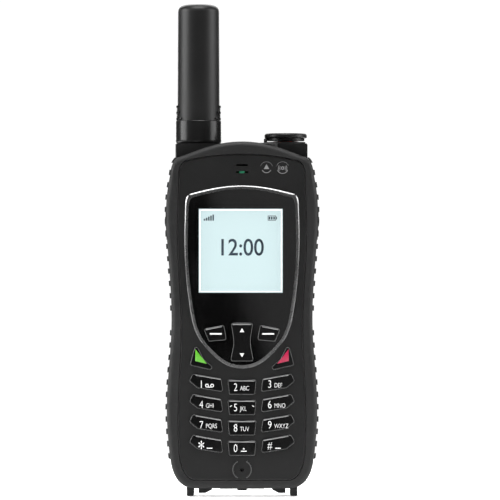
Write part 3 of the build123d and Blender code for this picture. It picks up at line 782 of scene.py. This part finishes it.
class PHONE_OT_screen(bpy.types.Operator):
    """Draw the display's border, clock and status signs"""

    bl_idname = "phone.screen"
    bl_label = "Screen"

    border = 0.45 * MM
    clock_height = 6.4 * MM
    clock_width = 0.9                # against the font's own width
    clock_weight = 0.08 * MM         # strokes bolder than the font's own
    clock_rise = 1.0 * MM            # above the display's middle
    status_drop = 3.6 * MM           # from the picture's top to the status signs' middle
    rounding = 0.05                  # of a bar's edges, against its smallest side
    signal_inset = 2.2 * MM          # from the picture's left side to the first signal bar
    signal_foot = 1.0 * MM           # below the status signs' middle
    signal_bars = 5
    signal_pitch = 0.85 * MM
    signal_wide = 0.55 * MM
    signal_tall = 0.7 * MM           # the first bar
    signal_step = 0.42 * MM          # what each bar adds
    battery_inset = 4.2 * MM         # from the picture's right side to the battery's middle
    battery_half = (1.5 * MM, 0.85 * MM)
    battery_line = 0.22 * MM
    battery_corner = 0.2 * MM        # what its long sides reach past its ends' middles, together
    battery_knob = (0.4 * MM, 1.0 * MM)
    battery_knob_reach = 1.75 * MM
    cell = (0.6 * MM, 1.1 * MM)
    cell_start = 0.95 * MM           # left of the battery's middle
    cell_pitch = 0.9 * MM

    def execute(self, context):
        low, high = (Vector(corner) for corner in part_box("display_panel"))
        rim = context.scene.phone_looks.lens_rim
        face = low.y - PROUD
        centre = (low + high) / 2
        half = (high.x - low.x) / 2 - rim
        self.frame_picture((centre.x, face, centre.z), half)
        marks = [lettering("12:00", (centre.x, face, centre.z + self.clock_rise),
                           self.clock_height, self.clock_width, weight=self.clock_weight)]
        level = centre.z + half - self.status_drop
        marks += self.signal(centre.x - half + self.signal_inset, face, level)
        marks += self.battery(centre.x + half - self.battery_inset, face, level)
        join(marks)
        settle("screen_marks", "case", "screen_ink", smooth=False)
        return {"FINISHED"}

    def frame_picture(self, centre, half):
        """A thin border: a plane's face is inset and taken out, and what is left gets a wall."""
        deselect()
        bpy.ops.mesh.primitive_plane_add(size=2 * half - self.border, location=centre,
                                         rotation=FACING_FRONT)
        bpy.ops.object.mode_set(mode="EDIT")
        bpy.ops.mesh.select_all(action="SELECT")
        bpy.ops.mesh.inset(thickness=self.border)
        bpy.ops.mesh.delete(type="FACE")
        bpy.ops.object.mode_set(mode="OBJECT")
        apply_modifier("SOLIDIFY", thickness=PRINT, offset=0)
        settle("screen_border", "case", "screen_white", smooth=False)

    def bar(self, x, face, level, wide, tall):
        return slip((x, face, level), (wide, PRINT, tall), round_by=self.rounding)

    def signal(self, left, face, level):
        """Bars that grow to the right from one foot line."""
        bars = []
        for step in range(self.signal_bars):
            tall = self.signal_tall + step * self.signal_step
            bars.append(self.bar(left + step * self.signal_pitch, face,
                                 level + tall / 2 - self.signal_foot, self.signal_wide, tall))
        return bars

    def battery(self, x, face, level):
        """A battery's outline, its knob and three full cells."""
        reach, rise = self.battery_half
        line = self.battery_line
        bars = [self.bar(x + self.battery_knob_reach, face, level, *self.battery_knob)]
        for way in (-1, 1):
            bars.append(self.bar(x, face, level + way * rise, 2 * reach + self.battery_corner, line))
            bars.append(self.bar(x + way * reach, face, level, line, 2 * rise))
        for step in range(3):
            place = x - self.cell_start + step * self.cell_pitch
            bars.append(self.bar(place, face, level, *self.cell))
        return bars


class PHONE_OT_front_signs(bpy.types.Operator):
    """Print the two round signs, and fit the microphone's and the earpiece's cloths"""

    bl_idname = "phone.front_signs"
    bl_label = "Front signs and cloths"

    sign_drop = 5.4 * MM             # from the housing's top
    alert_x = 9.5 * MM               # the sign with a triangle
    alert_arc = 1.8 * MM
    alert_line = 0.28 * MM
    alert_peak = 1.25 * MM
    alert_peak_rise = 0.25 * MM
    signal_x = 15.75 * MM            # the sign with waves to both sides of a ring
    signal_arc = 2.1 * MM
    signal_line = 0.26 * MM
    signal_ring = 0.5 * MM
    signal_ring_line = 0.32 * MM
    wave_radii = (1.1 * MM, 1.65 * MM)
    wave_line = 0.22 * MM
    wave_spread = 38                 # degrees to each side
    rim_radius = 2.45 * MM           # the fine upper rim of both signs
    rim_line = 0.1 * MM
    mouth_radius = 3.6 * MM          # the two arcs beside the microphone
    mouth_line = 0.4 * MM
    mouth_spread = 62                # degrees to each side
    mouth_depth = 0.44 * MM
    mouth_cloth = 0.78 * MM
    mouth_cloth_depth = 0.2 * MM
    mouth_cloth_step = 0.15 * MM     # in front of the microphone
    ear_cloth = (4.5 * MM, 0.3 * MM, 0.76 * MM)
    ear_cloth_step = 0.2 * MM
    ear_cloth_drop = 0.1 * MM
    ear_cloth_round = 0.2
    ear_cloth_crown = 0.05 * MM

    def execute(self, context):
        face = front_of("front_housing") + SKIN_DROP - PROUD
        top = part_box("front_housing")[1][2]
        level = top - self.sign_drop
        alert = (self.alert_x, face, level)
        signal = (self.signal_x, face, level)
        signs = [arc(alert, self.alert_arc, self.alert_line, 205, 335, PRINT),
                 disc((self.alert_x, face, level + self.alert_peak_rise), self.alert_peak, PRINT,
                      vertices=3),
                 arc(signal, self.signal_arc, self.signal_line, 200, 340, PRINT),
                 arc(signal, self.signal_ring, self.signal_ring_line, 0, 360, PRINT)]
        for way in (180, 0):
            for radius in self.wave_radii:
                signs.append(arc(signal, radius, self.wave_line, way - self.wave_spread,
                                 way + self.wave_spread, PRINT))
        join(signs)
        settle("front_signs", "case", "mark_grey", smooth=False)
        join([arc((x, face + PROUD / 2, level), self.rim_radius, self.rim_line, 20, 160, PROUD)
              for x in (self.alert_x, self.signal_x)])
        settle("front_sign_rings", "case", "mark_grey", smooth=False)
        self.cloths()
        return {"FINISHED"}

    def cloths(self):
        """The arcs beside the microphone's hole, and the cloth behind it and in the earpiece's slot."""
        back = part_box("microphone")[0][1]
        hole = middle("microphone")
        skin = front_of("front_housing") + SKIN_DROP
        join([arc((hole.x, skin, hole.z), self.mouth_radius, self.mouth_line,
                  way - self.mouth_spread, way + self.mouth_spread, self.mouth_depth)
              for way in (0, 180)])
        # The arcs take the brighter copy of the housing plastic, a painted highlight standing in for
        # light on their ridges.
        settle("microphone_arcs", "case", "highlit_arc_plastic")
        disc((hole.x, back - self.mouth_cloth_step, hole.z), self.mouth_cloth, self.mouth_cloth_depth)
        settle("microphone_cloth", "case", "seal_rubber")
        slot = middle("earpiece")
        place = (slot.x, back - self.ear_cloth_step, slot.z - self.ear_cloth_drop)
        slip(place, self.ear_cloth, round_by=self.ear_cloth_round, crown=self.ear_cloth_crown)
        settle("earpiece_cloth", "case", "seal_rubber")


class PHONE_OT_antenna_fingers(bpy.types.Operator):
    """Stand the collar's finger bars beside the antenna, on its two sides"""

    bl_idname = "phone.antenna_fingers"
    bl_label = "Antenna finger bars"

    rows = 3
    row_rise = 0.75 * MM             # from the collar's top to the lowest bar
    row_inset = 0.28 * MM            # from the collar's outer side
    row_spread = math.radians(38)    # of the lowest bar, to each side
    row_taper = math.radians(8)      # what each bar loses
    row_tall = 0.75 * MM
    row_thick = 0.42 * MM
    web_pitches = 2.3                # height of the web behind the bars, in finger pitches
    web_extra = 1.0 * MM             # what it reaches further
    web_inset = 0.36 * MM
    web_spread = math.radians(14)
    web_thick = 0.16 * MM

    def execute(self, context):
        low, high = (Vector(corner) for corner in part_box("antenna_collar"))
        centre = (low + high) / 2
        outer = (high.x - low.x) / 2
        pitch = context.scene.phone_sizes.finger_pitch
        for side, name in ((0, "right"), (math.pi, "left")):
            bars = []
            for row in range(self.rows):
                bars.append(self.bar(centre, outer - self.row_inset,
                                     high.z + self.row_rise + pitch * row, side,
                                     self.row_spread - self.row_taper * row,
                                     self.row_tall, self.row_thick))
            bars.append(self.bar(centre, outer - self.web_inset,
                                 high.z + pitch * self.web_pitches / 2, side, self.web_spread,
                                 pitch * self.web_pitches + self.web_extra, self.web_thick))
            join(bars)
            settle("finger_bars_" + name, "case", "collar_plastic")
        return {"FINISHED"}

    def bar(self, centre, radius, level, side, spread, tall, thick):
        """A short curved bar, spun about the antenna's axis from its start to 2 spreads on.

        A spin turns by the negative of its angle.
        """
        deselect()
        start = side - spread
        place = (centre.x + radius * math.cos(start), centre.y + radius * math.sin(start), level)
        bpy.ops.mesh.primitive_plane_add(size=1, location=place, rotation=(math.pi / 2, 0, start))
        piece = bpy.context.object
        piece.scale = (thick, tall, 1)
        bpy.ops.object.transform_apply(location=True, rotation=True, scale=True)
        bpy.ops.object.mode_set(mode="EDIT")
        bpy.ops.mesh.select_all(action="SELECT")
        bpy.ops.mesh.spin(steps=14, angle=-2 * spread, center=(centre.x, centre.y, level),
                          axis=(0, 0, 1))
        mesh = bmesh.from_edit_mesh(piece.data)
        bmesh.ops.holes_fill(mesh, edges=mesh.edges)
        bmesh.update_edit_mesh(piece.data)
        bpy.ops.mesh.select_all(action="SELECT")
        bpy.ops.mesh.normals_make_consistent(inside=False)
        bpy.ops.object.mode_set(mode="OBJECT")
        apply_modifier("BEVEL", width=thick * 0.25, segments=2, limit_method="ANGLE")
        return piece


class PHONE_OT_stage(bpy.types.Operator):
    """Set the floor, the lights and the camera"""

    bl_idname = "phone.stage"
    bl_label = "Stage"

    floor_size = (1.4, 0.8, 1)
    floor_drop = 0.2 * MM            # below the phone's foot
    lights_aim = Vector((0, 0, 0.09))
    # Each softbox's name, place, side and watts.
    softboxes = (
        ("left_softbox", (-0.75, -0.1, 0.35), 0.5, 9.0),
        ("right_softbox", (0.75, -0.1, 0.35), 0.5, 6.0),
        ("top_softbox", (0.0, -0.2, 0.95), 0.6, 15.0),
        ("back_softbox", (0.0, 0.8, 0.5), 0.8, 8.0),
    )
    card_place = (0.163, -2.6, 0.134)
    card_lean = math.radians(-20)
    card_size = (0.36, 0.9)
    card_watts = 0.5
    seen_strength = 1.05             # of the air behind the phone
    ahead_strength = 0.03            # of the air that lights the phone from straight ahead
    around_strength = 0.2            # and from the sides and behind
    ahead_y = -0.97                  # of a direction that counts as straight ahead
    around_y = -0.35
    camera_x = 3.1 * MM
    camera_z = 95.7 * MM
    view_height = 1.0119             # against the phone's height
    sensor = 36

    def execute(self, context):
        self.floor()
        self.lights()
        self.world(context.scene)
        self.camera(context.scene)
        context.scene.view_settings.view_transform = "Standard"
        return {"FINISHED"}

    def floor(self):
        """A pale card just under the phone."""
        deselect()
        bpy.ops.mesh.primitive_plane_add(size=1, location=(0, 0, -self.floor_drop))
        piece = bpy.context.object
        piece.scale = self.floor_size
        piece.name = "studio_floor"
        bpy.ops.object.transform_apply(location=True, rotation=True, scale=True)
        piece.data.materials.append(FINISHES["studio_floor"])

    def lights(self):
        for name, place, side, watts in self.softboxes:
            bpy.ops.object.light_add(type="AREA", location=place)
            light = bpy.context.object
            light.name = name
            light.data.shape = "SQUARE"
            light.data.size = side
            light.data.energy = watts
            aim = self.lights_aim - Vector(place)
            light.rotation_euler = aim.to_track_quat("-Z", "Y").to_euler()
            light.visible_camera = False
        self.sheen()

    def sheen(self):
        """A dim slanted card beside the camera, mirrored in the lens."""
        bpy.ops.object.light_add(type="AREA", location=self.card_place,
                                 rotation=(math.pi / 2, self.card_lean, 0))
        card = bpy.context.object
        card.name = "lens_sheen"
        card.data.shape = "RECTANGLE"
        card.data.size, card.data.size_y = self.card_size
        card.data.energy = self.card_watts
        card.visible_camera = False

    def world(self, scene):
        """White to the eye, dimmer to the phone, most of all from straight ahead."""
        world = bpy.data.worlds.new("studio_air")
        world.use_nodes = True
        scene.world = world
        tree = world.node_tree
        air = tree.nodes["Background"]
        seen = tree.nodes.new("ShaderNodeBackground")
        mix = tree.nodes.new("ShaderNodeMixShader")
        path = tree.nodes.new("ShaderNodeLightPath")
        where = tree.nodes.new("ShaderNodeTexCoord")
        split = tree.nodes.new("ShaderNodeSeparateXYZ")
        ramp = tree.nodes.new("ShaderNodeMapRange")
        seen.inputs["Color"].default_value = (1, 1, 1, 1)
        seen.inputs["Strength"].default_value = self.seen_strength
        ramp.inputs["From Min"].default_value = self.ahead_y
        ramp.inputs["From Max"].default_value = self.around_y
        ramp.inputs["To Min"].default_value = self.ahead_strength
        ramp.inputs["To Max"].default_value = self.around_strength
        tree.links.new(where.outputs["Generated"], split.inputs[0])
        tree.links.new(split.outputs["Y"], ramp.inputs["Value"])
        tree.links.new(ramp.outputs[0], air.inputs["Strength"])
        tree.links.new(path.outputs["Is Camera Ray"], mix.inputs[0])
        tree.links.new(air.outputs[0], mix.inputs[1])
        tree.links.new(seen.outputs[0], mix.inputs[2])
        tree.links.new(mix.outputs[0], tree.nodes["World Output"].inputs[0])

    def camera(self, scene):
        """Level, square to the front, with the whole phone in the frame."""
        distance = scene.phone_sizes.camera_distance
        low, high = CAD_BOX
        view = (high[2] - low[2]) * self.view_height
        bpy.ops.object.camera_add(location=(self.camera_x, -distance, self.camera_z),
                                  rotation=FACING_FRONT)
        camera = bpy.context.object
        camera.data.sensor_width = self.sensor
        camera.data.lens = self.sensor * (distance + low[1]) / view
        camera.data.clip_end = 50
        scene.camera = camera


class PHONE_PT_panel(bpy.types.Panel):
    """Lists the phone's steps in the sidebar"""

    bl_label = "Phone"
    bl_idname = "PHONE_PT_panel"
    bl_space_type = "VIEW_3D"
    bl_region_type = "UI"
    bl_category = "Phone"

    def draw(self, context):
        layout = self.layout
        for group in (context.scene.phone_looks, context.scene.phone_sizes):
            for name in group.bl_rna.properties.keys():
                if name not in ("rna_type", "name"):
                    layout.prop(group, name)
        for step in STEPS:
            layout.operator(step.bl_idname)


STEPS = (PHONE_OT_finishes, PHONE_OT_legends, PHONE_OT_key_trims, PHONE_OT_call_marks,
         PHONE_OT_screen, PHONE_OT_front_signs, PHONE_OT_antenna_fingers, PHONE_OT_stage)
CLASSES = (PhoneLooks, PhoneSizes) + STEPS + (PHONE_PT_panel,)


def register():
    for item in CLASSES:
        bpy.utils.register_class(item)
    bpy.types.Scene.phone_looks = bpy.props.PointerProperty(type=PhoneLooks)
    bpy.types.Scene.phone_sizes = bpy.props.PointerProperty(type=PhoneSizes)


def unregister():
    del bpy.types.Scene.phone_sizes
    del bpy.types.Scene.phone_looks
    for item in reversed(CLASSES):
        bpy.utils.unregister_class(item)


def main():
    register()
    bpy.ops.phone.finishes()
    bpy.ops.phone.stage()
    bpy.ops.phone.legends()
    bpy.ops.phone.key_trims()
    bpy.ops.phone.call_marks()
    bpy.ops.phone.screen()
    bpy.ops.phone.front_signs()
    bpy.ops.phone.antenna_fingers()


if __name__ == "__main__":
    main()
